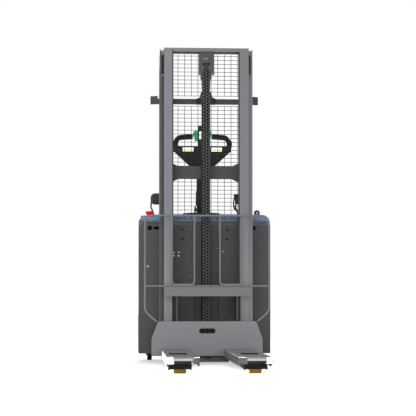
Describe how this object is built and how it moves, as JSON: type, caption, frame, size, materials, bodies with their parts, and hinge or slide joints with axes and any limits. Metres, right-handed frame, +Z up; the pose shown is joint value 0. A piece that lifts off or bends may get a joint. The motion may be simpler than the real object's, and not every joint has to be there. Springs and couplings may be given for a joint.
{
  "type": "lightweight pedestrian stacker",
  "caption": "Battery pedestrian stacker: duplex mast with chain lift, forks over wheeled support legs, load backrest, mesh guard and tiller-steered drive wheel.",
  "frame": {"origin": "on the floor, below the middle of the truck's outline", "axes": "+X across the truck, to the right as seen from the fork end; -Y is where the forks point; +Z up"},
  "size_m": [0.83, 1.95, 1.954],
  "materials": {
    "frame_black": "satin powder coat",
    "body_grey": "fine-texture powder coat",
    "hood_blue": "moulded plastic cover",
    "mast_grey": "satin powder coat",
    "barrel_black": "gloss black paint",
    "rod_chrome": "hard chrome plating",
    "roller_steel": "turned steel",
    "chain_steel": "oiled dark steel",
    "wire_black": "black coated wire",
    "button_red": "glossy moulded plastic",
    "plastic_black": "grained moulded plastic",
    "button_yellow": "moulded plastic",
    "button_green": "moulded plastic",
    "hub_iron": "machined cast iron",
    "tyre_pu": "ochre polyurethane",
    "caster_pu": "black polyurethane"
  },
  "bodies": {
    "truck": {"support_leg_left": "frame_black", "support_leg_right": "frame_black", "nose_cover_left": "plastic_black", "nose_cover_right": "plastic_black", "floor_beam": "frame_black", "mast_foot": "frame_black", "battery_case": "body_grey", "battery_block": "frame_black", "battery_lid": "hood_blue", "drive_skirt": "body_grey", "drive_hood": "hood_blue", "drive_plate": "frame_black", "caster_bracket_left": "frame_black", "caster_bracket_right": "frame_black", "outer_mast_left": "mast_grey", "outer_mast_right": "mast_grey", "cylinder_barrel": "barrel_black", "chain_rear": "chain_steel", "mast_mid_tie": "frame_black", "screen_bar": "frame_black", "screen_post_left": "frame_black", "screen_post_right": "frame_black", "mesh_screen": "wire_black", "stop_button": "button_red", "key_switch": "plastic_black", "grab_handle_left": "plastic_black", "grab_handle_right": "plastic_black", "cylinder_clamp": "frame_black", "mast_brackets": "frame_black"},
    "inner_mast": {"inner_mast_left": "mast_grey", "inner_mast_right": "mast_grey", "inner_mast_head": "mast_grey", "inner_mast_tie": "mast_grey", "lift_rod": "rod_chrome", "pulley_frame": "frame_black", "chain_front": "chain_steel"},
    "pulley": {"chain_pulley": "roller_steel"},
    "carriage": {"carriage_plate": "mast_grey", "carriage_side_left": "mast_grey", "carriage_side_right": "mast_grey", "carriage_cross": "frame_black", "fork_bar": "mast_grey", "fork_left": "mast_grey", "fork_right": "mast_grey", "load_backrest": "mast_grey"},
    "steering": {"drive_unit": "frame_black", "tiller_base": "plastic_black"},
    "drive_wheel": {"drive_hub": "hub_iron", "drive_tyre": "tyre_pu"},
    "tiller": {"tiller_arm": "plastic_black", "tiller_head": "plastic_black", "tiller_pads": "button_yellow", "tiller_rockers": "button_green"},
    "caster_left": {"caster_yoke_left": "frame_black"},
    "caster_right": {"caster_yoke_right": "frame_black"},
    "caster_wheel_left": {"caster_wheel_left": "caster_pu"},
    "caster_wheel_right": {"caster_wheel_right": "caster_pu"},
    "load_roller_left": {"load_roller_left": "tyre_pu"},
    "load_roller_right": {"load_roller_right": "tyre_pu"}
  },
  "joints": [
    {"name": "mast_lift", "type": "slide", "parent": "truck", "child": "inner_mast", "axis": [0, 0, 1], "range_m": [0, 1.4], "deforming": ["chain_rear"]},
    {"name": "carriage_lift", "type": "slide", "parent": "inner_mast", "child": "carriage", "axis": [0, 0, 1], "range_m": [0, 1.4], "deforming": ["chain_front"]},
    {"name": "pulley_turn", "type": "hinge", "parent": "inner_mast", "child": "pulley", "pos_m": [0, 0.322, 1.84], "axis": [-1, 0, 0], "continuous": true},
    {"name": "steer", "type": "hinge", "parent": "truck", "child": "steering", "pos_m": [0, 0.835, 0.3], "axis": [0, 0, 1], "range_deg": [-90, 90]},
    {"name": "tiller_tilt", "type": "hinge", "parent": "steering", "child": "tiller", "pos_m": [0, 0.835, 0.99], "axis": [-1, 0, 0], "range_deg": [0, 92]},
    {"name": "drive_roll", "type": "hinge", "parent": "steering", "child": "drive_wheel", "pos_m": [0, 0.835, 0.115], "axis": [1, 0, 0], "continuous": true},
    {"name": "caster_swivel_left", "type": "hinge", "parent": "truck", "child": "caster_left", "pos_m": [-0.34, 0.85, 0.09], "axis": [0, 0, 1], "continuous": true},
    {"name": "caster_roll_left", "type": "hinge", "parent": "caster_left", "child": "caster_wheel_left", "pos_m": [-0.34, 0.874, 0.04], "axis": [1, 0, 0], "continuous": true},
    {"name": "load_roller_roll_left", "type": "hinge", "parent": "truck", "child": "load_roller_left", "pos_m": [-0.2055, -0.74, 0.04], "axis": [1, 0, 0], "continuous": true},
    {"name": "caster_swivel_right", "type": "hinge", "parent": "truck", "child": "caster_right", "pos_m": [0.34, 0.85, 0.09], "axis": [0, 0, 1], "continuous": true},
    {"name": "caster_roll_right", "type": "hinge", "parent": "caster_right", "child": "caster_wheel_right", "pos_m": [0.34, 0.874, 0.04], "axis": [1, 0, 0], "continuous": true},
    {"name": "load_roller_roll_right", "type": "hinge", "parent": "truck", "child": "load_roller_right", "pos_m": [0.2055, -0.74, 0.04], "axis": [1, 0, 0], "continuous": true}
  ],
  "couplings": [
    {"joint": "carriage_lift", "follows": "mast_lift", "ratio": 1},
    {"joint": "pulley_turn", "follows": "mast_lift", "rad_per_m": 22.727}
  ]
}
